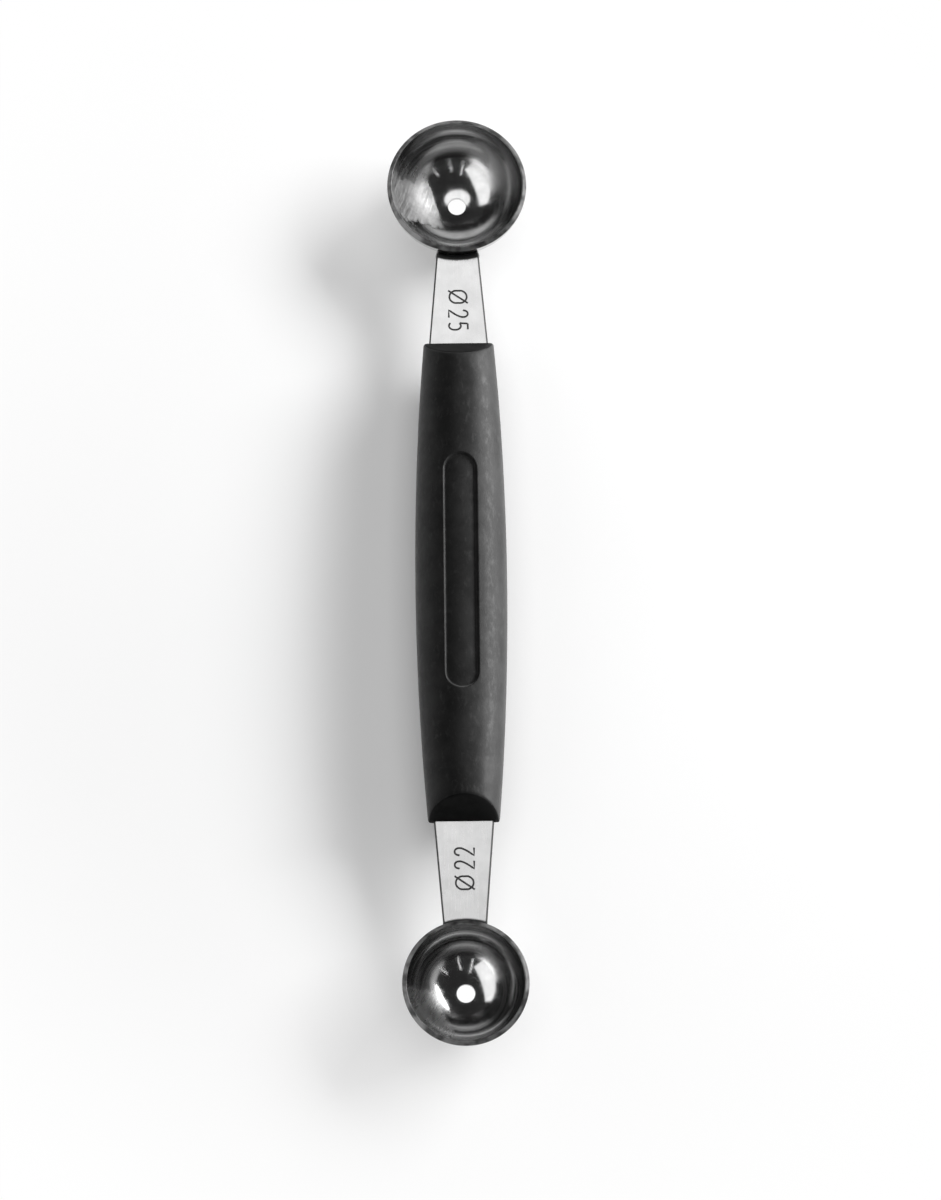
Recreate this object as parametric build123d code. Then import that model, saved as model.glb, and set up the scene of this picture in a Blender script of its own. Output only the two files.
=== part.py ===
from build123d import *
import os
from math import atan2, cos, degrees, radians, sin, sqrt, tan

# Double-ended melon baller. Y runs along the tool, towards the larger bowl, and both bowls open upwards, to +Z.
# The origin is the centre of the footprint, at the height of the larger bowl's underside.

# Bowls
bowl_spacing = 145.6
large_bowl_diameter = 25.0
small_bowl_diameter = 22.0
bowl_wall = 0.8
rim_bevel = 0.6
rim_round = 0.1
drain_hole_diameter = 3.2

# Stems, of flat steel: the flat lies below the rims, bends down and follows the outside of the bowl
steel_thickness = 1.2
stem_drop = 2.8
bend_inner_radius = 0.6
steel_edge_radius = 0.4
stem_root_width = 10.5
stem_tip_width = 7.8
tab_end_angle = 52.0
tab_corner_radius = 1.8
weld_dimple_diameter = 1.8
weld_dimple_depth = 0.15

# Tangs, the ends of the stems that the handle holds
shoulder_depth = 4.0
tang_length = 26.0
tang_width = 8.4
tang_corner_radius = 2.0
tang_hole_diameter = 4.0
tang_hole_spacing = 9.0
tang_hole_edge = 5.0
tang_hole_count = 2

# Handle
handle_length = 87.9
handle_mid_width = 16.2
handle_mid_height = 16.0
handle_end_width = 12.5
handle_end_height = 12.7
end_slant_angle = 32.0
end_nose_radius = 1.5
end_edge_radius = 0.6

# Core inside the handle, and the skin round it
skin_thickness = 2.4
end_wall = 7.0
lock_groove_width = 4.0
lock_groove_depth = 0.7
lock_groove_pitch = 16.0
lock_groove_count = 4

# Recessed panel on top of the handle
panel_length = 42.7
panel_width = 5.9
panel_side_depth = 0.4

# How far a cutting shape runs past what it cuts
overrun = 2.0

large_bowl_radius = large_bowl_diameter / 2
small_bowl_radius = small_bowl_diameter / 2
drain_radius = drain_hole_diameter / 2
# The deeper bowl stands on the edge of its drain hole
rim_height = sqrt(max(large_bowl_radius, small_bowl_radius) ** 2 - drain_radius ** 2)
bend_radius = bend_inner_radius + steel_thickness
handle_centre_y = (small_bowl_radius - large_bowl_radius) / 2
handle_axis_height = rim_height - stem_drop - steel_thickness / 2
handle_end_distance = (bowl_spacing - handle_length) / 2

# Where the barrel's sections stand, as shares of its half length, past both of its ends
station_shares = (-1.15, -0.6, 0, 0.6, 1.15)
# A side face of a stem is nearly square to X
side_face_share = 0.9
# Where the two spot welds lie along the tab
weld_shares = (0.27, 0.73)


def bowl(radius):
    # Hemispherical shell with its centre at the origin and its rim in the XY plane, ground to a lip from outside
    ring = Circle(radius) - Circle(radius - bowl_wall)
    quarter = Rectangle(radius, radius, align=(Align.MIN, Align.MAX))
    profile = ring & Pos(drain_radius, 0) * quarter
    shell = revolve(Plane.XZ * profile, Axis.Z)
    rim = shell.edges().filter_by(GeomType.CIRCLE).group_by(Axis.Z)[-1].sort_by(SortBy.RADIUS)
    shell = chamfer(rim[-1], rim_bevel)
    rim = shell.edges().filter_by(GeomType.CIRCLE).group_by(Axis.Z)[-1].sort_by(SortBy.RADIUS)
    return fillet(rim[0], rim_round)


def bend_distance(bowl_radius):
    # Distance from the bowl's axis to the start of the bend, for a bend that ends tangent to the bowl
    return sqrt((bowl_radius + bend_radius) ** 2 - (stem_drop + bend_radius) ** 2)


def touch_angle(bowl_radius):
    # Angle below the rim plane at which the bend meets the bowl
    return degrees(atan2(stem_drop + bend_radius, bend_distance(bowl_radius)))


def below_rim(radius, angle):
    # Point at a radius round the bowl's centre and an angle below the rim plane
    return (radius * cos(radians(angle)), -radius * sin(radians(angle)))


def stem_profile(bowl_radius, reach):
    # Section of the steel along the stem: distance from the bowl's axis, and height over the rim plane
    start = bend_distance(bowl_radius)
    bend_centre = (start, -stem_drop - bend_radius)
    touch = touch_angle(bowl_radius)
    outer_radius = bowl_radius + steel_thickness
    top = -stem_drop
    bottom = -stem_drop - steel_thickness
    outline = [
        Line((reach, top), (start, top)),
        CenterArc(bend_centre, bend_radius, 90, 90 - touch),
        CenterArc((0, 0), bowl_radius, -touch, touch - tab_end_angle),
        Line(below_rim(bowl_radius, tab_end_angle), below_rim(outer_radius, tab_end_angle)),
        CenterArc((0, 0), outer_radius, -touch, touch - tab_end_angle),
        CenterArc(bend_centre, bend_inner_radius, 90, 90 - touch),
        Line((start, bottom), (reach, bottom)),
        Line((reach, bottom), (reach, top)),
    ]
    return make_face(outline)


def stem_plan(bowl_radius):
    # Outline of the steel seen from above, with the bowl's axis at the origin and the handle towards +Y
    start = bend_distance(bowl_radius)
    widening = (stem_root_width - stem_tip_width) / (handle_end_distance - start) / 2
    shoulder = handle_end_distance + shoulder_depth
    tip = handle_end_distance + tang_length
    axis_half_width = stem_tip_width / 2 - widening * start
    half_width = stem_root_width / 2
    blade = make_face(
        Polyline(
            (-axis_half_width, 0),
            (-half_width, handle_end_distance),
            (-half_width, shoulder),
            (half_width, shoulder),
            (half_width, handle_end_distance),
            (axis_half_width, 0),
            close=True,
        )
    )
    inside = tip - handle_end_distance
    tang = Pos(0, tip) * Rectangle(tang_width, inside, align=(Align.CENTER, Align.MAX))
    tang = fillet(tang.vertices().group_by(Axis.Y)[-1], tang_corner_radius)
    plan = blade + tang
    for number in range(tang_hole_count):
        hole_y = tip - tang_hole_edge - number * tang_hole_spacing
        plan -= Pos(0, hole_y) * Circle(tang_hole_diameter / 2)
    return plan


def stem(bowl_radius):
    # The sheet is turned round the bowl's axis, so that bend and tab follow the bowl, and cut to its plan
    reach = handle_end_distance + tang_length + overrun
    sheet = Rot(0, 0, 180) * revolve(Plane.YZ * stem_profile(bowl_radius, reach), Axis.Z)
    depth = bowl_radius + steel_thickness + overrun
    plan = stem_plan(bowl_radius)
    piece = sheet & extrude(plan, -depth)
    tab_end = piece.faces().sort_by(Axis.Z)[0]
    piece = fillet(tab_end.edges().sort_by(SortBy.LENGTH)[:2], tab_corner_radius)

    sides = piece.faces().filter_by(lambda face: face.normal_at().X ** 2 > side_face_share)
    blade_sides = sides.sort_by(Axis.Y)[:2]
    long_edges = [edge for side in blade_sides for edge in side.edges() if edge.length > steel_thickness]
    piece = fillet(long_edges, steel_edge_radius)

    dimple_radius = (weld_dimple_diameter ** 2 / 4 + weld_dimple_depth ** 2) / weld_dimple_depth / 2
    dimple_distance = bowl_radius + steel_thickness - weld_dimple_depth + dimple_radius
    touch = touch_angle(bowl_radius)
    for share in weld_shares:
        along, up = below_rim(dimple_distance, touch + share * (tab_end_angle - touch))
        piece -= Pos(0, along, up) * Sphere(dimple_radius)
    return piece


def half_size(y, mid, end):
    # Half the handle's width or height at a distance from its middle
    return (end + (mid - end) * (1 - (2 * y / handle_length) ** 2)) / 2


def barrel(half_length, inset):
    # The handle's swelling shape about the origin, drawn in by an inset
    sections = []
    for share in station_shares:
        y = share * half_length
        half_width = half_size(y, handle_mid_width, handle_end_width) - inset
        half_height = half_size(y, handle_mid_height, handle_end_height) - inset
        sections.append(Plane.XZ.offset(-y) * Ellipse(half_width, half_height))
    return loft(sections)


def end_trim():
    # Side view of the handle: each end falls back, above and below, from a rounded nose level with the steel
    slant = radians(end_slant_angle)
    nose = handle_length / 2 + end_nose_radius * (1 / cos(slant) - 1)
    height = handle_mid_height
    corner = nose - height * tan(slant)
    upper = [(corner, height), (nose, 0), (corner, -height)]
    lower = [(-along, up) for along, up in reversed(upper)]
    outline = make_face(Polyline(*upper, *lower, close=True))
    noses = outline.vertices().sort_by(Axis.X)
    outline = fillet([noses[0], noses[-1]], end_nose_radius)
    return extrude(Plane.YZ * outline, handle_mid_width, both=True)


def handle_shape():
    # Outside of the handle about the origin, without its panel
    shape = barrel(handle_length / 2, 0) & end_trim()
    end_edges = shape.edges().filter_by(lambda edge: edge.length < handle_length / 2)
    return fillet(end_edges, end_edge_radius)


def core_envelope():
    # Outside of the core, with the grooves that lock the skin to it
    half_length = handle_length / 2 - end_wall
    slab = Box(handle_mid_width, 2 * half_length, handle_mid_height)
    envelope = barrel(half_length, skin_thickness) & slab
    groove_bottom = barrel(half_length, skin_thickness + lock_groove_depth)
    groove = Box(handle_mid_width, lock_groove_width, handle_mid_height)
    for number in range(lock_groove_count):
        y = (number - (lock_groove_count - 1) / 2) * lock_groove_pitch
        envelope -= Pos(0, y) * groove - groove_bottom
    return envelope


def panel_recess():
    # Slot with round ends and a flat floor, as deep along its straight sides as its side depth says
    curve_share = panel_width / handle_mid_width
    side_height = handle_mid_height / 2 * sqrt(1 - curve_share ** 2)
    slot = Pos(0, 0, side_height - panel_side_depth) * SlotOverall(panel_length, panel_width, rotation=90)
    return extrude(slot, handle_mid_height)


large_end = Pos(0, handle_centre_y + bowl_spacing / 2, rim_height)
small_end = Pos(0, handle_centre_y - bowl_spacing / 2, rim_height)
middle = Pos(0, handle_centre_y, handle_axis_height)

large_bowl = large_end * bowl(large_bowl_radius)
small_bowl = small_end * bowl(small_bowl_radius)
large_stem = large_end * Rot(0, 0, 180) * stem(large_bowl_radius)
small_stem = small_end * stem(small_bowl_radius)

core_space = middle * core_envelope()
handle_core = core_space - large_stem - small_stem
grip = middle * (handle_shape() - panel_recess()) - core_space - large_stem - small_stem

nodes = {
    "large_bowl": large_bowl,
    "small_bowl": small_bowl,
    "large_stem": large_stem,
    "small_stem": small_stem,
    "handle_core": handle_core,
    "grip": grip,
}

os.makedirs("parts", exist_ok=True)
for name, shape in nodes.items():
    export_step(shape, f"parts/{name}.step")
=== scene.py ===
import math
import bmesh
import bpy
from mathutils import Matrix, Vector


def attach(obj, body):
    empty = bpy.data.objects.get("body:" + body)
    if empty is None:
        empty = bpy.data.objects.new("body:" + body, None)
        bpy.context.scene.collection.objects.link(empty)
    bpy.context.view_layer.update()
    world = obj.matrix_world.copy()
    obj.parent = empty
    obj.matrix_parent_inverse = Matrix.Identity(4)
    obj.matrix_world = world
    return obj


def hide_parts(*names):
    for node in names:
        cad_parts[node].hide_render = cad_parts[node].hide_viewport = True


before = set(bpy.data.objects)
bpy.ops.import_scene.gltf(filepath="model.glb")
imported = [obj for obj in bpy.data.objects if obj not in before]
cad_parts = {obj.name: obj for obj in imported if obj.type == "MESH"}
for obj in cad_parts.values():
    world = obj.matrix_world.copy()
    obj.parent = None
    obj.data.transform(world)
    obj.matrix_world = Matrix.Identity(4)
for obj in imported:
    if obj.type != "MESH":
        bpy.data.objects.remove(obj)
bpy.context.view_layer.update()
print("frame loaded:", len(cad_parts), "nodes")

mm = 0.001
mergeGap = 1e-6         # metres, points nearer than this are one point
onPlane = 1e-7          # metres, points nearer than this to a cut lie on it
rimHeight = 12.397      # both rims lie at this height, mm
axisHeight = 8.997      # middle of the steel and of the handle, mm
handleMiddle = -0.75    # along Y, mm


# helpers for modelling

def makeActive(piece):
    bpy.ops.object.select_all(action="DESELECT")
    piece.select_set(True)
    bpy.context.view_layer.objects.active = piece


def startEdit(piece):
    makeActive(piece)
    bpy.ops.object.mode_set(mode="EDIT")


def endEdit():
    bpy.ops.object.mode_set(mode="OBJECT")


def settle(piece, name):
    # the place goes into the mesh, so that the object sits at the origin
    makeActive(piece)
    bpy.ops.object.transform_apply(location=True, rotation=True, scale=True)
    piece.name = name
    piece.data.name = name
    return piece


def pick(kind, test):
    # selects the vertices, edges or faces that pass the test, and nothing else
    mode = {"verts": "VERT", "edges": "EDGE", "faces": "FACE"}[kind]
    bpy.ops.mesh.select_mode(type=mode)
    bpy.ops.mesh.select_all(action="DESELECT")
    mesh = bmesh.from_edit_mesh(bpy.context.object.data)
    mesh.normal_update()
    for item in getattr(mesh, kind):
        if test(item):
            item.select_set(True)
    mesh.select_flush_mode()
    bmesh.update_edit_mesh(bpy.context.object.data)


def applyModifier(piece, kind, **settings):
    makeActive(piece)
    modifier = piece.modifiers.new(kind.title(), kind)
    for key, value in settings.items():
        setattr(modifier, key, value)
    bpy.ops.object.modifier_apply(modifier=modifier.name)


def cut(piece, cutter):
    applyModifier(piece, "BOOLEAN", operation="DIFFERENCE", solver="EXACT", object=cutter)
    bpy.data.objects.remove(cutter)


def smooth(piece, angle):
    makeActive(piece)
    bpy.ops.object.shade_smooth_by_angle(angle=math.radians(angle))


def selectAll():
    bpy.ops.mesh.select_all(action="SELECT")


def trim(point, outward, fill=False):
    # cuts the whole mesh with a plane and drops what lies outside it
    selectAll()
    bpy.ops.mesh.bisect(
        plane_co=point, plane_no=outward, clear_outer=True, use_fill=fill, threshold=onPlane)


def turnOutwards():
    selectAll()
    bpy.ops.mesh.normals_make_consistent(inside=False)


def mergeDoubles():
    selectAll()
    bpy.ops.mesh.remove_doubles(threshold=mergeGap)


def edgeMiddle(edge):
    return (edge.verts[0].co + edge.verts[1].co) / 2


bpy.ops.object.select_all(action="DESELECT")


# the two bowls

largeScoopValues = {
    "alongY": 72.05,
    "radius": 12.5,
    "wall": 0.8,
    "rimBevel": 0.6,        # ground from outside
    "rimRound": 0.1,
    "drainRadius": 1.6,
    "drainEdge": 0.08,
    "arcPoints": 56,        # in a quarter of the section
    "turnSteps": 160,
    "ringGap": 0.03,        # edges nearer than this to a ring belong to it
    "smoothAngle": 40,      # degrees
}
smallScoopValues = dict(largeScoopValues, alongY=-73.55, radius=11.0)


def makeScoop(name, node, values):
    centre = Vector((0, values["alongY"], rimHeight)) * mm
    radius = values["radius"] * mm
    inner = (values["radius"] - values["wall"]) * mm
    hole = values["drainRadius"] * mm
    bpy.ops.mesh.primitive_circle_add(
        vertices=4 * values["arcPoints"], radius=radius, location=centre, rotation=(math.pi / 2, 0, 0))
    scoop = settle(bpy.context.object, name)
    startEdit(scoop)
    selectAll()
    bpy.ops.mesh.duplicate()
    bpy.ops.transform.resize(value=(inner / radius,) * 3, center_override=centre)
    selectAll()
    bpy.ops.mesh.bisect(plane_co=(hole, 0, 0), plane_no=(1, 0, 0), clear_inner=True, threshold=onPlane)
    pick("verts", lambda v: v.co.z > centre.z + mergeGap)
    bpy.ops.mesh.delete(type="VERT")
    pick("verts", lambda v: v.co.x < hole + mergeGap)                # hole's wall
    bpy.ops.mesh.edge_face_add()
    pick("verts", lambda v: v.co.z > centre.z - mergeGap)            # rim's flat
    bpy.ops.mesh.edge_face_add()

    # the lip is ground away from the outside, between the flat and the sphere
    bevel = values["rimBevel"] * mm
    lipTop = centre + Vector((radius - bevel, 0, 0))
    ground = Vector((bevel, 0, math.sqrt(radius ** 2 - bevel ** 2) - radius + bevel)).normalized()
    trim(lipTop, ground)
    pick("verts", lambda v: abs((v.co - lipTop).dot(ground)) < onPlane)
    bpy.ops.mesh.edge_face_add()
    selectAll()
    bpy.ops.mesh.spin(steps=values["turnSteps"], angle=2 * math.pi, center=centre, axis=(0, 0, 1))
    mergeDoubles()
    turnOutwards()

    def ringAt(edge, distance, low, high):
        # level edges at this distance from the bowl's axis, between two heights in mm
        first, second = edge.verts
        level = abs(first.co.z - second.co.z) < mergeGap
        place = edgeMiddle(edge) - centre
        away = math.hypot(place.x, place.y)
        near = abs(away - distance) < values["ringGap"] * mm
        return level and near and low < place.z / mm < high

    pick("edges", lambda e: ringAt(e, inner, -0.01, 0.01))
    bpy.ops.mesh.bevel(offset=values["rimRound"] * mm, segments=3, affect="EDGES")
    pick("edges", lambda e: ringAt(e, hole, -values["radius"] - 1, -1))
    bpy.ops.mesh.bevel(offset=values["drainEdge"] * mm, segments=2, affect="EDGES")
    endEdit()
    smooth(scoop, values["smoothAngle"])
    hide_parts(node)
    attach(scoop, "root")
    print("made", name, len(scoop.data.polygons), "faces")
    return scoop


# the necks, the flat steel between bowl and handle

largeNeckValues = {
    "alongY": 72.05,
    "towards": -1,              # the handle lies towards -Y
    "bowlRadius": 12.5,
    "thickness": 1.2,
    "drop": 2.8,                # rim to the flat's top face
    "bendRadius": 1.8,
    "bendSteps": 8,
    "tabEnd": 52,               # degrees below the rim
    "tabSteps": 16,
    "tabCorner": 1.8,
    "cornerCuts": 5,
    "sheetOverrun": 6,          # how far the uncut sheet runs past the tang
    "sweep": 28,                # degrees that it is turned round the bowl each way
    "sweepSteps": 14,
    "flatAngle": 0.4,           # degrees, faces flatter than this to each other are joined
    "rootWidth": 10.5,
    "tipWidth": 7.8,
    "handleEnd": 28.85,         # distances from the bowl's middle
    "shoulder": 32.85,
    "tangTip": 54.85,
    "tangWidth": 8.4,
    "tangCorner": 2.0,
    "tangHole": 2.0,
    "holeDistances": (49.85, 40.85),
    "drillLength": 4.0,
    "edgeRound": 0.35,
    "roundEnd": 32.75,          # the edges are rounded up to here
    "sharpAngle": 50,           # degrees, from which an edge is rounded
    "smoothAngle": 32,
    "weldRadius": 0.9,
    "weldDepth": 0.15,
    "weldShares": (0.27, 0.73),
}
smallNeckValues = dict(largeNeckValues, alongY=-73.55, towards=1, bowlRadius=11.0)


def makeNeck(name, values):
    towards = values["towards"]
    centre = Vector((0, values["alongY"], rimHeight)) * mm
    top = (rimHeight - values["drop"]) * mm
    bowlRadius = values["bowlRadius"]
    bend = values["bendRadius"]
    start = math.sqrt((bowlRadius + bend) ** 2 - (values["drop"] + bend) ** 2)
    touch = math.atan2(values["drop"] + bend, start)

    def along(distance):
        return centre.y + towards * distance * mm

    # side view of the sheet, as a line of edges
    sheetEnd = values["tangTip"] + values["sheetOverrun"]
    length = (sheetEnd - start) * mm
    middle = (along(start) + along(sheetEnd)) / 2
    bpy.ops.mesh.primitive_plane_add(size=length, location=(length / 2, middle, top))
    neck = settle(bpy.context.object, name)
    startEdit(neck)
    pick("verts", lambda v: v.co.x > length / 2)
    bpy.ops.mesh.delete(type="VERT")
    pick("verts", lambda v: abs(v.co.y - along(start)) < mergeGap)
    bpy.ops.mesh.spin(
        steps=values["bendSteps"], angle=-towards * (math.pi / 2 - touch),
        center=(0, along(start), top - bend * mm), axis=(1, 0, 0))
    bpy.ops.mesh.spin(
        steps=values["tabSteps"], angle=towards * (math.radians(values["tabEnd"]) - touch),
        center=centre, axis=(1, 0, 0))

    # swept both ways round the bowl, so that bend and tab follow it
    sweep = math.radians(values["sweep"])
    selectAll()
    bpy.ops.mesh.spin(steps=values["sweepSteps"], angle=sweep, center=centre, axis=(0, 0, 1))
    pick("verts", lambda v: abs(v.co.x) < onPlane)
    bpy.ops.mesh.spin(steps=values["sweepSteps"], angle=-sweep, center=centre, axis=(0, 0, 1))
    mergeDoubles()

    # cut to its tapering plan
    widening = (values["rootWidth"] - values["tipWidth"]) / (values["handleEnd"] - start) / 2
    half = values["rootWidth"] / 2
    for side in (-1, 1):
        trim((side * half * mm, along(values["handleEnd"]), 0), (side, -towards * widening, 0))
        trim((side * half * mm, 0, 0), (side, 0, 0))
    trim((0, along(values["tangTip"]), 0), (0, towards, 0))

    # shoulders, and the narrower tang behind them
    tangHalf = values["tangWidth"] / 2 * mm
    shoulder = along(values["shoulder"])

    def behindShoulder(face):
        return towards * (face.calc_center_median().y - shoulder) > 0

    def besideTang(face):
        return behindShoulder(face) and abs(face.calc_center_median().x) > tangHalf

    selectAll()
    bpy.ops.mesh.bisect(plane_co=(0, shoulder, 0), plane_no=(0, 1, 0), threshold=onPlane)
    for side in (-1, 1):
        pick("faces", behindShoulder)
        bpy.ops.mesh.bisect(plane_co=(side * tangHalf, 0, 0), plane_no=(1, 0, 0), threshold=onPlane)
    pick("faces", besideTang)
    bpy.ops.mesh.delete(type="FACE")
    selectAll()
    bpy.ops.mesh.dissolve_limited(angle_limit=math.radians(values["flatAngle"]))
    pick("verts", lambda v: abs(v.co.y - along(values["tangTip"])) < mergeGap)
    bpy.ops.mesh.bevel(offset=values["tangCorner"] * mm, segments=6, affect="VERTICES")

    # rounded corners of the tab, cut by planes that touch each corner's circle
    tabEnd = math.radians(values["tabEnd"])
    lowest = centre.z - math.sin(tabEnd) * bowlRadius * mm
    mesh = bmesh.from_edit_mesh(neck.data)
    widest = max(vert.co.x for vert in mesh.verts if abs(vert.co.z - lowest) < mergeGap)
    corner = values["tabCorner"] * mm
    inset = widest - corner
    down = Vector((0, -towards * math.sin(tabEnd), -math.cos(tabEnd)))
    reach = math.cos(tabEnd) * bowlRadius * mm
    sag = math.sin(tabEnd) * (reach - math.sqrt(reach ** 2 - inset ** 2))
    endMiddle = centre + Vector((0, towards * math.cos(tabEnd), -math.sin(tabEnd))) * bowlRadius * mm
    for side in (-1, 1):
        circle = endMiddle + down * (sag - corner) + Vector((side * inset, 0, 0))
        for step in range(1, values["cornerCuts"] + 1):
            turn = math.pi / 2 * step / (values["cornerCuts"] + 1)
            outward = Vector((side * math.cos(turn), 0, 0)) + down * math.sin(turn)
            trim(circle + outward * corner, outward)
    turnOutwards()
    mesh = bmesh.from_edit_mesh(neck.data)
    flat = max(mesh.faces, key=lambda f: f.calc_area())
    if flat.normal.z < 0:
        bpy.ops.mesh.flip_normals()
    endEdit()
    applyModifier(neck, "SOLIDIFY", thickness=values["thickness"] * mm, offset=-1, use_even_offset=True)

    # the edges are rounded as far as the shoulders
    startEdit(neck)
    turnOutwards()

    def sharpEdge(edge):
        if len(edge.link_faces) != 2 or edge.calc_face_angle() < math.radians(values["sharpAngle"]):
            return False
        distance = towards * (edgeMiddle(edge).y - centre.y) / mm
        return distance < values["roundEnd"]

    pick("edges", sharpEdge)
    bpy.ops.mesh.bevel(offset=values["edgeRound"] * mm, segments=3, affect="EDGES", clamp_overlap=False)
    endEdit()

    for distance in values["holeDistances"]:
        bpy.ops.mesh.primitive_cylinder_add(
            vertices=32, radius=values["tangHole"] * mm, depth=values["drillLength"] * mm,
            location=(0, along(distance), axisHeight * mm))
        cut(neck, settle(bpy.context.object, "holeCutter"))

    # shallow dimples of the two spot welds
    depth = values["weldDepth"]
    ball = (values["weldRadius"] ** 2 + depth ** 2) / depth / 2
    away = (bowlRadius + values["thickness"] - depth + ball) * mm
    for share in values["weldShares"]:
        angle = touch + share * (math.radians(values["tabEnd"]) - touch)
        place = centre + Vector((0, towards * math.cos(angle), -math.sin(angle))) * away
        bpy.ops.mesh.primitive_uv_sphere_add(segments=96, ring_count=64, radius=ball * mm, location=place)
        cut(neck, settle(bpy.context.object, "weldCutter"))
    return neck


# size marks, stamped into the flats

markValues = {
    "tube": 0.19,           # radius of the stamping edge, mm
    "tubeSteps": 3,
    "curveSteps": 5,
    "above": 0.06,          # its middle over the steel
    "largeStart": 19.0,     # first sign's beginning, from the bowl's middle
    "smallStart": 16.8,
    "middle": 1.7,          # half the signs' height
}
# strokes of each sign as points, along the reading direction and up, mm; 1 marks a corner
signStrokes = {
    "ring": (True, ((1.3, 0.15, 0), (2.3, 0.75, 0), (2.45, 1.7, 0), (2.3, 2.65, 0), (1.3, 3.25, 0),
                    (0.3, 2.65, 0), (0.15, 1.7, 0), (0.3, 0.75, 0))),
    "slash": (False, ((0.1, -0.05, 1), (2.5, 3.45, 1))),
    "two": (False, ((0.12, 2.55, 0), (0.35, 3.2, 0), (0.78, 3.4, 0), (1.22, 3.2, 0), (1.42, 2.6, 0),
                    (1.2, 1.75, 0), (0.1, 0.02, 1), (1.5, 0.02, 1))),
    "fiveTop": (False, ((0.3, 3.38, 1), (1.4, 3.38, 1))),
    "fiveSide": (False, ((0.3, 3.38, 1), (0.2, 1.95, 1))),
    "fiveBelly": (False, ((0.2, 1.95, 0), (0.75, 2.15, 0), (1.25, 1.85, 0),
                          (1.45, 1.1, 0), (1.2, 0.3, 0), (0.7, 0.02, 0), (0.15, 0.25, 0))),
}
# the signs of each mark and where each starts, mm
largeMark = (
    ("ring", 0), ("slash", 0), ("two", 3.7),
    ("fiveTop", 6.05), ("fiveSide", 6.05), ("fiveBelly", 6.05))
smallMark = (("ring", 0), ("slash", 0), ("two", 3.7), ("two", 6.05))


def stampMark(neck, values, mark, start):
    towards = values["towards"]
    top = (rimHeight - values["drop"] + markValues["above"]) * mm
    for sign, shift in mark:
        closed, points = signStrokes[sign]
        curve = bpy.data.curves.new(sign + "Stroke", "CURVE")
        curve.dimensions = "3D"
        curve.bevel_depth = markValues["tube"] * mm
        curve.bevel_resolution = markValues["tubeSteps"]
        curve.resolution_u = markValues["curveSteps"]
        curve.use_fill_caps = True
        line = curve.splines.new("BEZIER")
        line.bezier_points.add(len(points) - 1)
        line.use_cyclic_u = closed
        for point, (along, up, corner) in zip(line.bezier_points, points):
            y = values["alongY"] + towards * (start + shift + along)
            x = -towards * (up - markValues["middle"])
            point.co = (x * mm, y * mm, top)
            point.handle_left_type = "VECTOR" if corner else "AUTO"
            point.handle_right_type = "VECTOR" if corner else "AUTO"
        stroke = bpy.data.objects.new(sign + "Stroke", curve)
        bpy.context.collection.objects.link(stroke)
        makeActive(stroke)
        bpy.ops.object.convert(target="MESH")
        cutter = bpy.context.object
        startEdit(cutter)
        mergeDoubles()
        turnOutwards()
        endEdit()
        cut(neck, cutter)


def finishNeck(neck, node, values, mark, start):
    stampMark(neck, values, mark, start)
    smooth(neck, values["smoothAngle"])
    applyModifier(neck, "WEIGHTED_NORMAL", mode="FACE_AREA", weight=80, keep_sharp=True)
    print("made", neck.name, len(neck.data.polygons), "faces")
    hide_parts(node)
    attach(neck, "root")


largeScoop = makeScoop("largeScoop", "large_bowl", largeScoopValues)
smallScoop = makeScoop("smallScoop", "small_bowl", smallScoopValues)
largeNeck = makeNeck("largeNeck", largeNeckValues)
finishNeck(largeNeck, "large_stem", largeNeckValues, largeMark, markValues["largeStart"])
smallNeck = makeNeck("smallNeck", smallNeckValues)
finishNeck(smallNeck, "small_stem", smallNeckValues, smallMark, markValues["smallStart"])


# the grip, moulded skin of the handle

gripValues = {
    "length": 87.9,
    "midWidth": 16.2,
    "midHeight": 16.0,
    "endWidth": 12.5,
    "endHeight": 12.7,
    "slant": 32,                # degrees that the end faces fall back
    "noseRadius": 1.5,
    "edgeRound": 0.5,
    "endFacing": 0.6,           # share of a face's normal along the tool that makes it an end face
    "endArea": 20.0,            # mm2, smaller ones belong to the nose
    "endInset": 0.25,
    "endStart": 38.0,           # the end faces lie further out than this
    "sides": 48,
    "ringStep": 2.0,
    "endRun": 8.0,              # where the swelling stops, from each end
    "overrun": 6.0,             # how far the uncut barrel runs past each end
    "shrink": 0.997,            # leaves room for the parting line
    "panelLength": 42.7,
    "panelWidth": 5.9,
    "panelArcPoints": 14,       # on each round end
    "panelLip": 0.35,           # how far outside the panel its first loop lies
    "panelSpan": 6,
    "panelSteps": (             # distance outside the panel's edge, depth under the barrel
        (0.15, 0.0),
        (0.05, 0.05),
        (-0.05, 0.18),
        (-0.15, 0.33),
        (-0.25, 0.44),
        (-0.35, 0.5),
        (-0.8, 0.5),
    ),
    "openingAngle": 37,         # degrees each way from the top
    "openingHalf": 23.5,
    "partingWidth": 0.15,
    "partingHeight": 0.05,
    "partingReach": 8.0,        # half width of the barrel that the height is meant for
    "partingEdge": 0.5,         # shorter edges belong to the ends
    "slotGap": 0.12,
    "slotDepth": 2.5,
    "slotWidth": 10.5,
    "slotHeight": 1.2,
    "slotRound": 0.3,
    "smoothAngle": 50,
}


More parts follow.
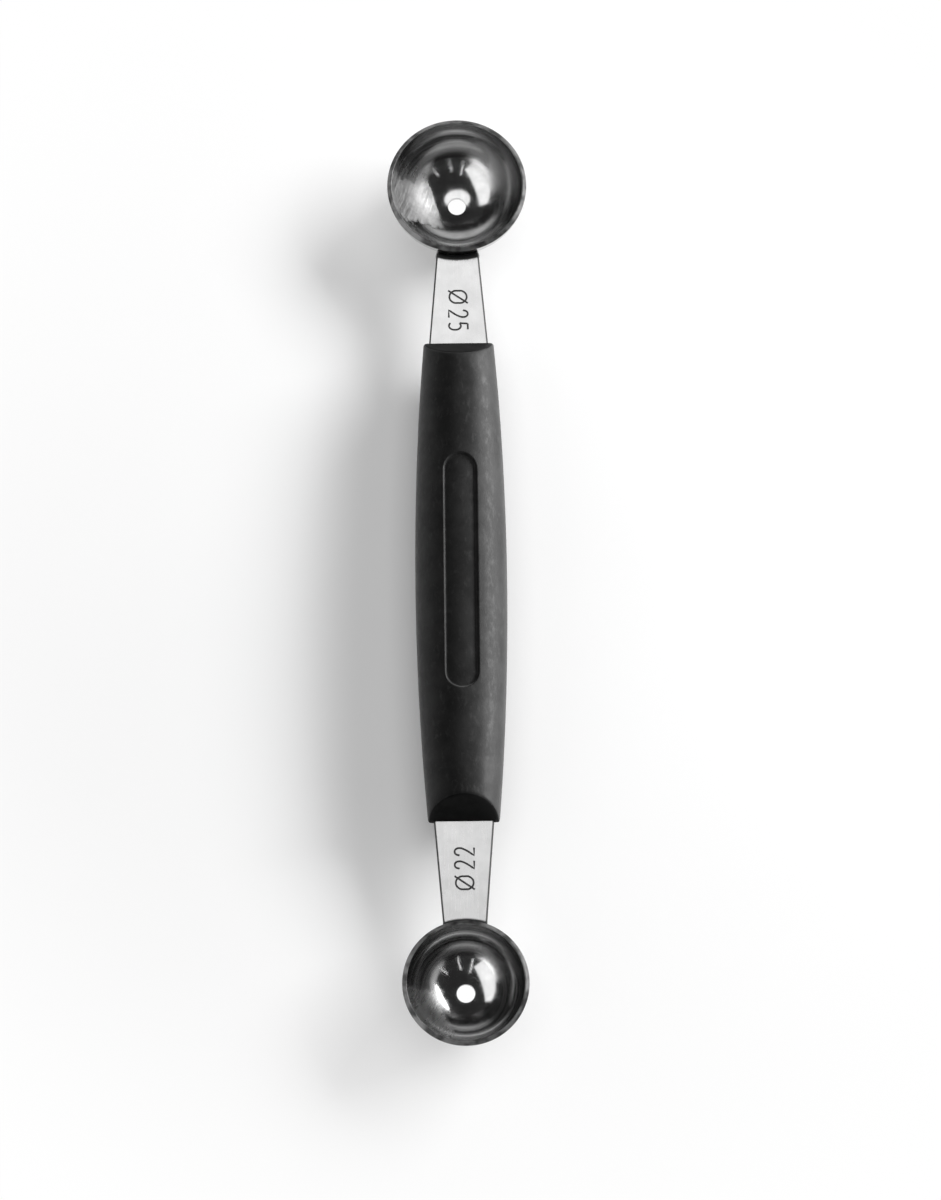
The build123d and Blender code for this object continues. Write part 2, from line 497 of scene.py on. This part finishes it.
def makeGrip(name, node, values):
    half = values["length"] / 2
    centre = Vector((0, handleMiddle, axisHeight)) * mm
    slant = math.radians(values["slant"])
    nose = half + values["noseRadius"] * (1 / math.cos(slant) - 1)
    inner = half - values["endRun"]

    def onAxis(y):
        return centre + Vector((0, y * mm, 0))

    def swell(y, mid, end):
        return values["shrink"] * (end + (mid - end) * (1 - (y / half) ** 2)) / 2

    def halfSize(y, mid, end):
        # near the ends the barrel runs on straight
        reach = min(max(y, -inner), inner)
        size = swell(reach, mid, end)
        if abs(y) > inner:
            size += (swell(half, mid, end) - size) * (abs(y) - inner) / (half - inner)
        return size

    # the swelling barrel, ring by ring
    count = round(2 * inner / values["ringStep"])
    stations = [-inner + 2 * inner * number / count for number in range(count + 1)]
    stations = [-half - values["overrun"]] + stations + [half + values["overrun"]]
    bpy.ops.mesh.primitive_circle_add(
        vertices=values["sides"], radius=mm, location=onAxis(stations[0]), rotation=(math.pi / 2, 0, 0))
    grip = settle(bpy.context.object, name)
    startEdit(grip)
    selectAll()
    width = 1
    height = 1
    before = stations[0]
    for station in stations:
        if station > before:
            bpy.ops.mesh.extrude_region_move(
                TRANSFORM_OT_translate={"value": (0, (station - before) * mm, 0)})
        newWidth = halfSize(station, values["midWidth"], values["endWidth"])
        newHeight = halfSize(station, values["midHeight"], values["endHeight"])
        bpy.ops.transform.resize(
            value=(newWidth / width, 1, newHeight / height), center_override=onAxis(station))
        width = newWidth
        height = newHeight
        before = station
    turnOutwards()

    # ends that fall back above and below a rounded nose
    for end in (-1, 1):
        for side in (-1, 1):
            outward = (0, end * math.cos(slant), side * math.sin(slant))
            trim(onAxis(end * nose), outward, fill=True)

    def noseEdge(edge):
        place = edgeMiddle(edge) - centre
        return abs(abs(place.y) - nose * mm) < mergeGap and abs(place.z) < mergeGap

    pick("edges", noseEdge)
    noseReach = values["noseRadius"] * math.tan(slant) * mm
    bpy.ops.mesh.bevel(offset=noseReach, segments=3, affect="EDGES", clamp_overlap=False)

    def endFace(face):
        return abs(face.normal.y) > values["endFacing"]

    def outlineEdge(edge):
        if len(edge.link_faces) != 2:
            return False
        first, second = edge.link_faces
        return endFace(first) != endFace(second)

    pick("edges", outlineEdge)
    bpy.ops.mesh.bevel(offset=values["edgeRound"] * mm, segments=2, affect="EDGES", clamp_overlap=False)
    pick("faces", lambda f: endFace(f) and f.calc_area() > values["endArea"] * mm * mm)
    bpy.ops.mesh.inset(thickness=values["endInset"] * mm, use_individual=True)

    # parting line of the mould, a fine ridge along both sides
    def partingEdge(edge):
        first, second = edge.verts
        level = abs(first.co.z - centre.z) < mergeGap and abs(second.co.z - centre.z) < mergeGap
        return level and abs(first.co.y - second.co.y) > values["partingEdge"] * mm

    pick("edges", partingEdge)
    bpy.ops.mesh.bevel(
        offset=values["partingWidth"] * mm, segments=2, affect="EDGES", clamp_overlap=False)
    pick("edges", partingEdge)
    raised = 1 + values["partingHeight"] / values["partingReach"]
    bpy.ops.transform.resize(value=(raised, 1, 1), center_override=centre)

    # opening for the panel, bridged to a slot with round ends
    def onBarrel(x, y):
        halfWidth = halfSize(y / mm, values["midWidth"], values["endWidth"]) * mm
        halfHeight = halfSize(y / mm, values["midHeight"], values["endHeight"]) * mm
        return centre.z + halfHeight * math.sqrt(1 - (x / halfWidth) ** 2)

    def inOpening(face):
        place = face.calc_center_median() - centre
        return (abs(math.atan2(place.x, place.z)) < math.radians(values["openingAngle"])
                and abs(place.y) < values["openingHalf"] * mm)

    pick("faces", inOpening)
    bpy.ops.mesh.delete(type="FACE")
    mesh = bmesh.from_edit_mesh(grip.data)
    openEdges = sum(1 for edge in mesh.edges if len(edge.link_faces) == 1)
    bpy.ops.mesh.select_all(action="DESELECT")
    lip = values["panelLip"]
    endRadius = values["panelWidth"] / 2 + lip
    straight = values["panelLength"] / 2 + lip - endRadius
    arcPoints = values["panelArcPoints"]
    halfStep = math.pi / 2 / arcPoints
    bpy.ops.mesh.primitive_circle_add(
        vertices=2 * arcPoints, radius=endRadius * mm / math.cos(halfStep),
        location=centre + Vector((0, 0, values["midHeight"] / 2 * mm)), rotation=(0, 0, halfStep))
    bpy.ops.mesh.select_mode(type="VERT")
    for side in (-1, 1):
        mesh = bmesh.from_edit_mesh(grip.data)
        loose = [v for v in mesh.verts if not v.link_faces]
        for vert in mesh.verts:
            vert.select_set(False)
        for vert in loose:
            vert.select_set(side * (vert.co.y - centre.y) > 0)
        mesh.select_flush_mode()
        bmesh.update_edit_mesh(grip.data)
        bpy.ops.transform.translate(value=(0, side * straight * mm, 0))
    pick("edges", lambda e: not e.link_faces and e.calc_length() > straight * mm)
    bpy.ops.mesh.subdivide(number_cuts=(openEdges - 2 * arcPoints) // 2)

    def settleLoop(test, height):
        # moves the points that pass the test up or down to the height for their place
        mesh = bmesh.from_edit_mesh(grip.data)
        for vert in mesh.verts:
            if test(vert):
                vert.co.z = height(vert.co)
        bmesh.update_edit_mesh(grip.data)

    settleLoop(lambda v: not v.link_faces, lambda p: onBarrel(p.x, p.y - centre.y))
    pick("edges", lambda e: len(e.link_faces) < 2)
    bpy.ops.mesh.bridge_edge_loops(number_cuts=1)
    settleLoop(lambda v: v.select, lambda p: onBarrel(p.x, p.y - centre.y))

    # the panel's edge, wall and floor, one inset after another
    pick("edges", lambda e: len(e.link_faces) == 1)
    bpy.ops.mesh.edge_face_add()
    reached = lip
    for offset, depth in values["panelSteps"]:
        bpy.ops.mesh.inset(thickness=(reached - offset) * mm, depth=0)
        reached = offset
        settleLoop(lambda v: v.select, lambda p: onBarrel(p.x, p.y - centre.y) - depth * mm)
    bpy.ops.mesh.delete(type="ONLY_FACE")
    pick("edges", lambda e: len(e.link_faces) == 1)
    bpy.ops.mesh.fill_grid(span=values["panelSpan"])
    settleLoop(lambda v: v.select, lambda p: onBarrel(p.x, p.y - centre.y) - depth * mm)
    turnOutwards()
    endEdit()
    applyModifier(grip, "SUBSURF", levels=2, render_levels=2)

    # slots for the steel
    for end in (-1, 1):
        width = values["slotWidth"] + 2 * values["slotGap"]
        height = values["slotHeight"] + 2 * values["slotGap"]
        bpy.ops.mesh.primitive_cube_add(size=mm, location=onAxis(end * half))
        cutter = settle(bpy.context.object, "slotCutter")
        startEdit(cutter)
        selectAll()
        bpy.ops.transform.resize(
            value=(width, 2 * values["slotDepth"], height), center_override=onAxis(end * half))
        pick("edges", lambda e: abs(e.verts[0].co.y - e.verts[1].co.y) > mm)
        bpy.ops.mesh.bevel(offset=values["slotRound"] * mm, segments=3, affect="EDGES")
        endEdit()
        cut(grip, cutter)
    smooth(grip, values["smoothAngle"])
    print("made", name, len(grip.data.polygons), "faces")
    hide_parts(node)
    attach(grip, "root")
    return grip


grip = makeGrip("gripSkin", "grip", gripValues)


# the finishes

softRange = (0.3, 0.7)      # a noise faded between these wanders gently from low to high
crispRange = (0.35, 0.65)   # and between these more sharply


def newFinish(name, **sockets):
    material = bpy.data.materials.new(name)
    material.use_nodes = True
    shader = material.node_tree.nodes["Principled BSDF"]
    for key, value in sockets.items():
        shader.inputs[key.replace("_", " ")].default_value = value
    return material, material.node_tree, shader


def addNode(tree, kind, settings=None, **sockets):
    node = tree.nodes.new(kind)
    for key, value in (settings or {}).items():
        setattr(node, key, value)
    for key, value in sockets.items():
        node.inputs[key.replace("_", " ")].default_value = value
    return node


def plug(tree, source, entry):
    # a number, a colour or another node's output goes into an input
    if isinstance(source, bpy.types.NodeSocket):
        tree.links.new(source, entry)
    else:
        entry.default_value = source


def millimetres(tree, centre, turn=(0, 0, 0), scale=(1, 1, 1)):
    # object coordinates in mm about a centre, stretched by scale
    place = addNode(tree, "ShaderNodeTexCoord")
    mapping = addNode(tree, "ShaderNodeMapping", {"vector_type": "TEXTURE"})
    mapping.inputs["Location"].default_value = [value * mm for value in centre]
    mapping.inputs["Rotation"].default_value = [math.radians(value) for value in turn]
    mapping.inputs["Scale"].default_value = [value * mm for value in scale]
    plug(tree, place.outputs["Object"], mapping.inputs["Vector"])
    return mapping.outputs["Vector"]


def noise(tree, place, size, detail=4.0, rough=0.6):
    # cloudy pattern from 0 to 1, with spots of about this size in the unit of its coordinates
    node = addNode(tree, "ShaderNodeTexNoise", Scale=1 / size, Detail=detail, Roughness=rough)
    plug(tree, place, node.inputs["Vector"])
    return node.outputs["Fac"]


def calc(tree, operation, first, second):
    node = addNode(tree, "ShaderNodeMath", {"operation": operation})
    plug(tree, first, node.inputs[0])
    plug(tree, second, node.inputs[1])
    return node.outputs["Value"]


def fade(tree, value, start, end, low=0.0, high=1.0):
    # low up to start, high from end on, and a soft passage between them; start may be the larger
    if start > end:
        start, end, low, high = end, start, high, low
    node = addNode(tree, "ShaderNodeMapRange", {"interpolation_type": "SMOOTHSTEP"})
    for entry, number in zip(node.inputs[1:5], (start, end, low, high)):
        entry.default_value = number
    plug(tree, value, node.inputs["Value"])
    return node.outputs["Result"]


def blend(tree, factor, first, second):
    # first where the factor is 0, second where it is 1, for colours and for numbers
    colour = isinstance(second, tuple) or getattr(first, "type", "") == "RGBA"
    node = addNode(tree, "ShaderNodeMix", {"data_type": "RGBA" if colour else "FLOAT"})
    plug(tree, factor, node.inputs[0])
    plug(tree, first, node.inputs[6 if colour else 2])
    plug(tree, second, node.inputs[7 if colour else 3])
    return node.outputs[2 if colour else 0]


def grey(value):
    return (value, value, value, 1)


def mottle(tree, pattern, values):
    # colour that wanders between the two greys of a finish
    return blend(tree, fade(tree, pattern, *softRange), grey(values["dark"]), grey(values["light"]))


def bumps(tree, shader, heights, distance):
    # one bump node after another, each with its own strength; the distance is in mm
    before = None
    for height, strength in heights:
        node = addNode(tree, "ShaderNodeBump", Distance=distance * mm)
        plug(tree, strength, node.inputs["Strength"])
        plug(tree, height, node.inputs["Height"])
        if before is not None:
            plug(tree, before, node.inputs["Normal"])
        before = node.outputs["Normal"]
    plug(tree, before, shader.inputs["Normal"])


scoopSteelValues = {
    "dark": 0.50,
    "light": 0.60,
    "roughLow": 0.11,
    "roughHigh": 0.16,
    "cloudSize": 3.0,
    "ringHeight": 0.6,      # spacing of the polishing rings, mm
    "ringLength": 60,
    "ringBump": 0.02,
    "bumpDepth": 0.1,       # mm
    "wallStart": -0.84,     # above this share of the depth the wall is rougher and painted darker, painted shade that dims its reflections
    "wallEnd": -0.74,
    "wallSkin": (0.3, 0.1),     # only inside: it ends between these depths in the steel
    # painted shade: these darker greys of the upper wall dim its reflections
    "wallShadeDark": 0.34,
    "wallShadeLight": 0.46,
    "wallRoughLow": 0.12,   # varies from ring to ring
    "wallRoughHigh": 0.24,
    "lipShadeDark": 0.05,        # the ground lip, painted nearly black: painted shade in place of its bright reflection
    "lipShadeLight": 0.22,
    "lipRough": 0.45,
    "lipFoot": (0.08, 0.02),    # it ends between these distances below the bevel
    "lipSkin": 0.05,        # and starts at this depth in the steel
    "stainSize": 1.6,
    "wornEnds": 0.6,        # half the soft passage at both ends of the worn side
    "wornEdge": 0.9,        # the soft passage along it
    "scratchLength": 5,
}
# the side of each bowl that has lost its polish; on the large bowl its lighter grey is also a painted
# highlight
largeWearValues = {
    # partly painted highlight: lighter than the polished steel, where the key lamp's reflection falls
    "grey": (0.6, 0.78),
    "rough": (0.38, 0.52),
    "side": 3.4,            # nearest distance from the bowl's axis, mm
    "slope": 0.3,
    "span": (-4.2, 3.4),    # along the tool
    "haze": 0.55,           # how dull the steel beyond the span is
    "hazeReach": 4.0,       # mm
    "ragged": 5.0,
    "turn": 72,             # degrees of the scratches from X
    "scratchSize": 0.3,
    "scratchBump": 0.08,
}
smallWearValues = {
    "grey": (0.52, 0.6),
    "rough": (0.26, 0.29),
    "side": 5.0,
    "slope": 0.45,
    "span": (-8.5, 0.3),
    "haze": 0.12,
    "hazeReach": 3.0,
    "ragged": 1.2,
    "turn": 60,
    "scratchSize": 0.6,
    "scratchBump": 0.003,
}


def scoopSteel(name, values, scoop, wear):
    material, tree, shader = newFinish(name, Metallic=1.0)
    centre = (0, scoop["alongY"], rimHeight)
    around = millimetres(tree, centre)
    cloud = noise(tree, around, values["cloudSize"], detail=2.0)
    steel = mottle(tree, cloud, values)
    fine = noise(tree, around, values["cloudSize"] / 2, detail=2.0)
    rough = fade(tree, fine, *softRange, values["roughLow"], values["roughHigh"])

    # the upper wall, rougher and painted darker as painted shade that dims its reflections, and the
    # ground lip, painted nearly black as painted shade in place of its bright reflection
    parts = addNode(tree, "ShaderNodeSeparateXYZ")
    plug(tree, around, parts.inputs[0])
    reach = addNode(tree, "ShaderNodeVectorMath", {"operation": "LENGTH"})
    plug(tree, around, reach.inputs[0])
    inner = scoop["radius"] - scoop["wall"]
    footStart, footEnd = (-scoop["rimBevel"] - below for below in values["lipFoot"])
    high = fade(tree, parts.outputs["Z"], footStart, footEnd)
    outside = fade(tree, reach.outputs["Value"], inner, inner + values["lipSkin"])
    lip = calc(tree, "MULTIPLY", high, outside)
    wall = fade(tree, parts.outputs["Z"], values["wallStart"] * inner, values["wallEnd"] * inner)
    skinStart, skinEnd = (inner + depth for depth in values["wallSkin"])
    wall = calc(tree, "MULTIPLY", wall, fade(tree, reach.outputs["Value"], skinStart, skinEnd))
    # painted shade: the upper wall's steel is a darker grey, which dims its reflections
    shadedWallSteel = blend(tree, cloud, grey(values["wallShadeDark"]), grey(values["wallShadeLight"]))
    steel = blend(tree, wall, steel, shadedWallSteel)
    stretch = (values["ringLength"], values["ringLength"], values["ringHeight"])
    rings = noise(tree, millimetres(tree, centre, scale=stretch), 1.0, detail=2.0)
    ringRough = fade(tree, rings, *crispRange, values["wallRoughLow"], values["wallRoughHigh"])
    rough = blend(tree, wall, rough, ringRough)
    # painted shade: the ground lip's steel is painted nearly black, hiding its bright reflection
    lipShadeTone = fade(tree, cloud, *crispRange)
    shadedLipSteel = blend(tree, lipShadeTone, grey(values["lipShadeDark"]), grey(values["lipShadeLight"]))

    # the worn side has a ragged edge and fine scratches; on the large bowl its grey is raised above the
    # polished steel, a painted highlight where the key lamp's reflection falls
    spots = noise(tree, around, values["stainSize"], rough=0.65)
    ragged = calc(tree, "MULTIPLY", calc(tree, "SUBTRACT", spots, 0.5), wear["ragged"])
    slope = calc(tree, "MULTIPLY", parts.outputs["Y"], wear["slope"])
    side = calc(tree, "ADD", parts.outputs["X"], slope)
    across = calc(tree, "ADD", parts.outputs["Y"], ragged)
    low, top = wear["span"]
    ends = values["wornEnds"]
    pastLow = fade(tree, across, low - ends, low + ends)
    within = calc(tree, "MULTIPLY", pastLow, fade(tree, across, top + ends, top - ends))
    haze = fade(tree, across, top + wear["hazeReach"], top, 0.0, wear["haze"])
    within = calc(tree, "MAXIMUM", within, calc(tree, "MULTIPLY", haze, pastLow))
    beside = fade(tree, side, -wear["side"], -wear["side"] - values["wornEdge"])
    worn = calc(tree, "MULTIPLY", beside, within)
    stretch = (values["scratchLength"], wear["scratchSize"], values["scratchLength"])
    lines = millimetres(tree, centre, turn=(0, 0, wear["turn"]), scale=stretch)
    scratches = noise(tree, lines, 1.0, detail=3.0)
    lowWornAndLitGrey, highWornAndLitGrey = wear["grey"]
    lowRough, highRough = wear["rough"]
    wornSteelAndHighlight = blend(tree, fade(tree, spots, *crispRange), grey(lowWornAndLitGrey), grey(highWornAndLitGrey))
    dullRough = fade(tree, scratches, *crispRange, lowRough, highRough)
    steel = blend(tree, worn, steel, wornSteelAndHighlight)
    rough = blend(tree, worn, rough, dullRough)

    plug(tree, blend(tree, lip, steel, shadedLipSteel), shader.inputs["Base Color"])
    plug(tree, blend(tree, lip, rough, values["lipRough"]), shader.inputs["Roughness"])
    deep = calc(tree, "MULTIPLY", worn, wear["scratchBump"])
    bumps(tree, shader, [(rings, values["ringBump"]), (scratches, deep)], values["bumpDepth"])
    return material


neckSteelValues = {
    "dark": 0.45,
    "light": 0.51,
    "roughLow": 0.27,
    "roughHigh": 0.29,
    "cloudSize": 4.0,
    "brushWidth": 0.3,      # mm
    "brushLength": 12,
    "brushBump": 0.003,
    "bumpDepth": 0.05,
    "grooveShadeGrey": 0.07,     # painted shade in the marks and along the rounded edges
    "grooveRough": 0.5,
    "grooveStart": 0.005,   # mm under the flat
    "grooveEnd": 0.03,
    "grooveFloor": (0.6, 0.4),  # shares of the thickness between which the tone ends
}


def neckSteel(name, values, neck):
    material, tree, shader = newFinish(name, Metallic=1.0)
    centre = (0, neck["alongY"], rimHeight - neck["drop"])
    around = millimetres(tree, centre)
    cloud = noise(tree, around, values["cloudSize"])
    steel = mottle(tree, cloud, values)
    stretch = (values["brushWidth"], values["brushLength"], values["brushWidth"])
    brush = noise(tree, millimetres(tree, centre, scale=stretch), 1.0)
    rough = fade(tree, brush, *softRange, values["roughLow"], values["roughHigh"])

    # below the flat, in the marks and on the rounded edges, the steel is painted dark: painted shade, and
    # rougher
    parts = addNode(tree, "ShaderNodeSeparateXYZ")
    plug(tree, around, parts.inputs[0])
    height = parts.outputs["Z"]
    grooveShade = fade(tree, height, -values["grooveStart"], -values["grooveEnd"])
    floorStart, floorEnd = (-neck["thickness"] * share for share in values["grooveFloor"])
    grooveShade = calc(tree, "MULTIPLY", grooveShade, fade(tree, height, floorStart, floorEnd))
    plug(tree, blend(tree, grooveShade, steel, grey(values["grooveShadeGrey"])), shader.inputs["Base Color"])
    plug(tree, blend(tree, grooveShade, rough, values["grooveRough"]), shader.inputs["Roughness"])
    bumps(tree, shader, [(brush, values["brushBump"])], values["bumpDepth"])
    return material


gripPlasticValues = {
    "dark": 0.012,
    "light": 0.026,
    "cloudSize": 4.5,
    "roughLow": 0.45,
    "roughHigh": 0.65,
    "shine": 0.2,
    "sheen": 0.3,
    "sheenRough": 0.35,
    "scuffGrey": 0.045,     # dusty scuffs along the tool
    "scuffSize": 1.0,
    "scuffStart": 0.5,
    "scuffEnd": 0.75,
    "grainSize": 0.22,
    "grainBump": 0.12,
    "dentSize": 2.8,        # unevenness of the moulding
    "dentBump": 0.5,
    "bumpDepth": 0.1,
}


def gripPlastic(name, values):
    material, tree, shader = newFinish(
        name, Specular_IOR_Level=values["shine"],
        Sheen_Weight=values["sheen"], Sheen_Roughness=values["sheenRough"])
    centre = (0, handleMiddle, axisHeight)
    around = millimetres(tree, centre)
    cloud = noise(tree, around, values["cloudSize"], detail=5.0)
    rubber = mottle(tree, cloud, values)
    stretch = (values["scuffSize"], 2 * values["scuffSize"], values["scuffSize"])
    patch = noise(tree, millimetres(tree, centre, scale=stretch), 1.0, detail=6.0, rough=0.7)
    scuff = fade(tree, patch, values["scuffStart"], values["scuffEnd"])
    rubber = blend(tree, scuff, rubber, grey(values["scuffGrey"]))
    plug(tree, rubber, shader.inputs["Base Color"])
    rough = fade(tree, patch, *softRange, values["roughLow"], values["roughHigh"])
    plug(tree, rough, shader.inputs["Roughness"])
    grain = noise(tree, around, values["grainSize"], detail=3.0)
    dents = noise(tree, around, values["dentSize"], detail=3.0)
    heights = [(dents, values["dentBump"]), (grain, values["grainBump"])]
    bumps(tree, shader, heights, values["bumpDepth"])
    return material


corePlasticValues = {
    "dark": 0.03,
    "light": 0.045,
    "rough": 0.55,
    "shine": 0.5,
    "cloudSize": 2.5,
    "cloudBump": 0.1,
    "bumpDepth": 0.1,
}
# the end faces of the grip, painted darker than the barrel as painted shade, without sheen
shadedEndPlasticValues = dict(corePlasticValues, dark=0.006, light=0.012, shine=0.1)


def plainPlastic(name, values):
    material, tree, shader = newFinish(
        name, Roughness=values["rough"], Specular_IOR_Level=values["shine"])
    around = millimetres(tree, (0, handleMiddle, axisHeight))
    cloud = noise(tree, around, values["cloudSize"])
    plug(tree, mottle(tree, cloud, values), shader.inputs["Base Color"])
    bumps(tree, shader, [(cloud, values["cloudBump"])], values["bumpDepth"])
    return material


def dress(piece, material):
    piece.data.materials.clear()
    piece.data.materials.append(material)


dress(largeScoop, scoopSteel("largeScoopSteel", scoopSteelValues, largeScoopValues, largeWearValues))
dress(smallScoop, scoopSteel("smallScoopSteel", scoopSteelValues, smallScoopValues, smallWearValues))
dress(largeNeck, neckSteel("largeNeckSteel", neckSteelValues, largeNeckValues))
dress(smallNeck, neckSteel("smallNeckSteel", neckSteelValues, smallNeckValues))
dress(grip, gripPlastic("gripPlastic", gripPlasticValues))
# the end faces get the darker plastic: painted shade
grip.data.materials.append(plainPlastic("shadedEndPlastic", shadedEndPlasticValues))
for face in grip.data.polygons:
    if abs(face.normal.y) > gripValues["endFacing"] and abs(face.center.y) > gripValues["endStart"] * mm:
        face.material_index = 1
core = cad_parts["handle_core"]
dress(core, plainPlastic("corePlastic", corePlasticValues))
print("finishes done")


# the studio

floorValues = {
    "size": 8.0,            # metres, like the other lengths here except the holes
    "dark": 0.93,
    "light": 0.95,
    "cloudSize": 0.11,
    "lift": 0.1,            # share of white that the eye and the steel see everywhere
    "farStart": 0.038,      # from here the floor glows towards white for the eye and the steel, painted light that also lightens the bowls' cast shadows
    "farEnd": 0.135,
    "holes": (72.05, -73.2),    # painted light: under the drain holes the floor glows white, though it lies in the bowls' shadow, mm
    "holeInner": 1.65,
    "holeOuter": 2.05,
}


def makeFloor(values):
    bpy.ops.mesh.primitive_plane_add(size=values["size"], location=(0, 0, 0))
    floor = bpy.context.object
    floor.name = "floor"
    material, tree, shader = newFinish("floorPaint", Roughness=0.9, Specular_IOR_Level=0.0)
    place = addNode(tree, "ShaderNodeTexCoord").outputs["Object"]
    cloud = noise(tree, place, values["cloudSize"], detail=3.0)
    plug(tree, mottle(tree, cloud, values), shader.inputs["Base Color"])

    def distance(point):
        node = addNode(tree, "ShaderNodeVectorMath", {"operation": "DISTANCE"})
        plug(tree, place, node.inputs[0])
        node.inputs[1].default_value = point
        return node.outputs["Value"]

    # painted light: from farStart out the floor glows towards white, lightening the cast shadows there
    white = fade(tree, distance((0, 0, 0)), values["farStart"], values["farEnd"], values["lift"], 1.0)
    # painted light: discs under the drain holes glow white for the eye and the steel
    for along in values["holes"]:
        away = distance((0, along * mm, 0))
        paintedHoleLight = fade(tree, away, values["holeOuter"] * mm, values["holeInner"] * mm)
        white = calc(tree, "MAXIMUM", white, paintedHoleLight)
    path = addNode(tree, "ShaderNodeLightPath").outputs
    mirrored = calc(tree, "MAXIMUM", path["Is Glossy Ray"], path["Is Transmission Ray"])
    seen = calc(tree, "MAXIMUM", path["Is Camera Ray"], mirrored)
    glow = addNode(tree, "ShaderNodeEmission", Strength=1.0)
    mix = addNode(tree, "ShaderNodeMixShader")
    plug(tree, calc(tree, "MULTIPLY", white, seen), mix.inputs[0])
    plug(tree, shader.outputs["BSDF"], mix.inputs[1])
    plug(tree, glow.outputs["Emission"], mix.inputs[2])
    plug(tree, mix.outputs["Shader"], tree.nodes["Material Output"].inputs["Surface"])
    floor.data.materials.append(material)
    return floor


floor = makeFloor(floorValues)

# each softbox: degrees from +X towards +Y, degrees up, metres away, width, height,
# brightness, shape, and what it lights
softboxValues = {
    "keyFloor": (31, 29, 1.0, 0.78, 0.3, 18.6, "RECTANGLE", "floor"),
    "leftFloor": (197, 33, 0.9, 1.5, 0.62, 0.6, "RECTANGLE", "floor"),
    "topFloor": (90, 82, 0.95, 0.9, 0.9, 1.5, "RECTANGLE", "floor"),
    "keyGrip": (16, 9, 0.9, 1.1, 0.3, 22.0, "ELLIPSE", "grip"),
    "leftGrip": (197, 33, 0.9, 1.5, 0.62, 0.2, "ELLIPSE", "grip"),
    "topGrip": (90, 80, 0.95, 0.9, 0.9, 0.8, "ELLIPSE", "grip"),
    "keySteel": (26, 26, 0.9, 1.16, 0.52, 5.0, "ELLIPSE", "steel"),
    "leftSteel": (197, 36, 0.9, 1.34, 0.7, 1.6, "RECTANGLE", "steel"),
    "topNecks": (90, 68, 0.95, 0.83, 0.68, 1.4, "ELLIPSE", "necks"),
    "topLarge": (94, 79, 0.95, 0.76, 0.6, 1.25, "ELLIPSE", "largeScoop"),
    "topSmall": (90, 80, 0.95, 0.46, 0.42, 1.2, "ELLIPSE", "smallScoop"),
    "leftGlint": (-40, 34, 0.9, 0.012, 0.3, 4.5, "RECTANGLE", "scoops"),
    "middleGlint": (-76, 31, 0.9, 0.012, 0.6, 4.5, "RECTANGLE", "scoops"),
    "rightGlint": (-104, 42, 0.9, 0.012, 0.45, 4.5, "RECTANGLE", "scoops"),
}


def makeSoftbox(name, values, groups):
    around, up, away, width, height, bright, shape, lights = values
    around = math.radians(around)
    up = math.radians(up)
    place = Vector((math.cos(up) * math.cos(around), math.cos(up) * math.sin(around), math.sin(up)))
    bpy.ops.object.light_add(
        type="AREA", location=place * away, rotation=(math.pi / 2 - up, 0, around + math.pi / 2))
    box = bpy.context.object
    box.name = name
    box.data.shape = shape
    box.data.size = width
    box.data.size_y = height
    box.data.energy = bright * math.pi * width * height
    box.light_linking.receiver_collection = groups[lights]


def makeLights():
    lit = {
        "floor": (floor,),
        "grip": (grip, core),
        "steel": (largeScoop, smallScoop, largeNeck, smallNeck),
        "scoops": (largeScoop, smallScoop),
        "necks": (largeNeck, smallNeck),
        "largeScoop": (largeScoop,),
        "smallScoop": (smallScoop,),
    }
    groups = {}
    for name, pieces in lit.items():
        groups[name] = bpy.data.collections.new(name + "Light")
        for piece in pieces:
            groups[name].objects.link(piece)
    for name, values in softboxValues.items():
        makeSoftbox(name, values, groups)


makeLights()

worldValues = {
    "room": 0.035,
    "backdrop": 1.0,
    "bandStart": 0.05,      # between these heights on the sky the steel stops seeing the backdrop
    "bandEnd": 0.2,
}


def makeWorld(values):
    world = bpy.data.worlds.new("studioRoom")
    bpy.context.scene.world = world
    world.use_nodes = True
    tree = world.node_tree
    tree.nodes.clear()
    room = addNode(tree, "ShaderNodeBackground", Color=grey(values["room"]), Strength=1.0)
    backdrop = addNode(tree, "ShaderNodeBackground", Color=grey(values["backdrop"]), Strength=1.0)
    parts = addNode(tree, "ShaderNodeSeparateXYZ")
    plug(tree, addNode(tree, "ShaderNodeTexCoord").outputs["Generated"], parts.inputs[0])
    band = fade(tree, parts.outputs["Z"], values["bandEnd"], values["bandStart"])
    path = addNode(tree, "ShaderNodeLightPath").outputs
    mirrored = calc(tree, "MAXIMUM", path["Is Glossy Ray"], path["Is Transmission Ray"])
    seen = calc(tree, "MAXIMUM", path["Is Camera Ray"], calc(tree, "MULTIPLY", mirrored, band))
    mix = addNode(tree, "ShaderNodeMixShader")
    output = addNode(tree, "ShaderNodeOutputWorld")
    plug(tree, seen, mix.inputs[0])
    plug(tree, room.outputs["Background"], mix.inputs[1])
    plug(tree, backdrop.outputs["Background"], mix.inputs[2])
    plug(tree, mix.outputs["Shader"], output.inputs["Surface"])


makeWorld(worldValues)

cameraValues = {
    "lens": 157.43,
    "tilt": 15.5,           # degrees from straight down
    "turn": -0.66,          # degrees about the vertical
    "distance": 0.9239,
    "aim": (0.00159, -0.00456, 0.0096),
    "sensor": 36,
    "nearest": 0.05,
}


def makeCamera(values):
    tilt = math.radians(values["tilt"])
    turn = math.radians(values["turn"])
    back = Vector((math.sin(turn) * math.sin(tilt), -math.cos(turn) * math.sin(tilt), math.cos(tilt)))
    bpy.ops.object.camera_add(
        location=Vector(values["aim"]) + back * values["distance"], rotation=(tilt, 0, turn))
    camera = bpy.context.object
    camera.name = "viewCamera"
    camera.data.lens = values["lens"]
    camera.data.sensor_width = values["sensor"]
    camera.data.clip_start = values["nearest"]
    bpy.context.scene.camera = camera


makeCamera(cameraValues)
bpy.context.scene.view_settings.view_transform = "Standard"
print("studio done")
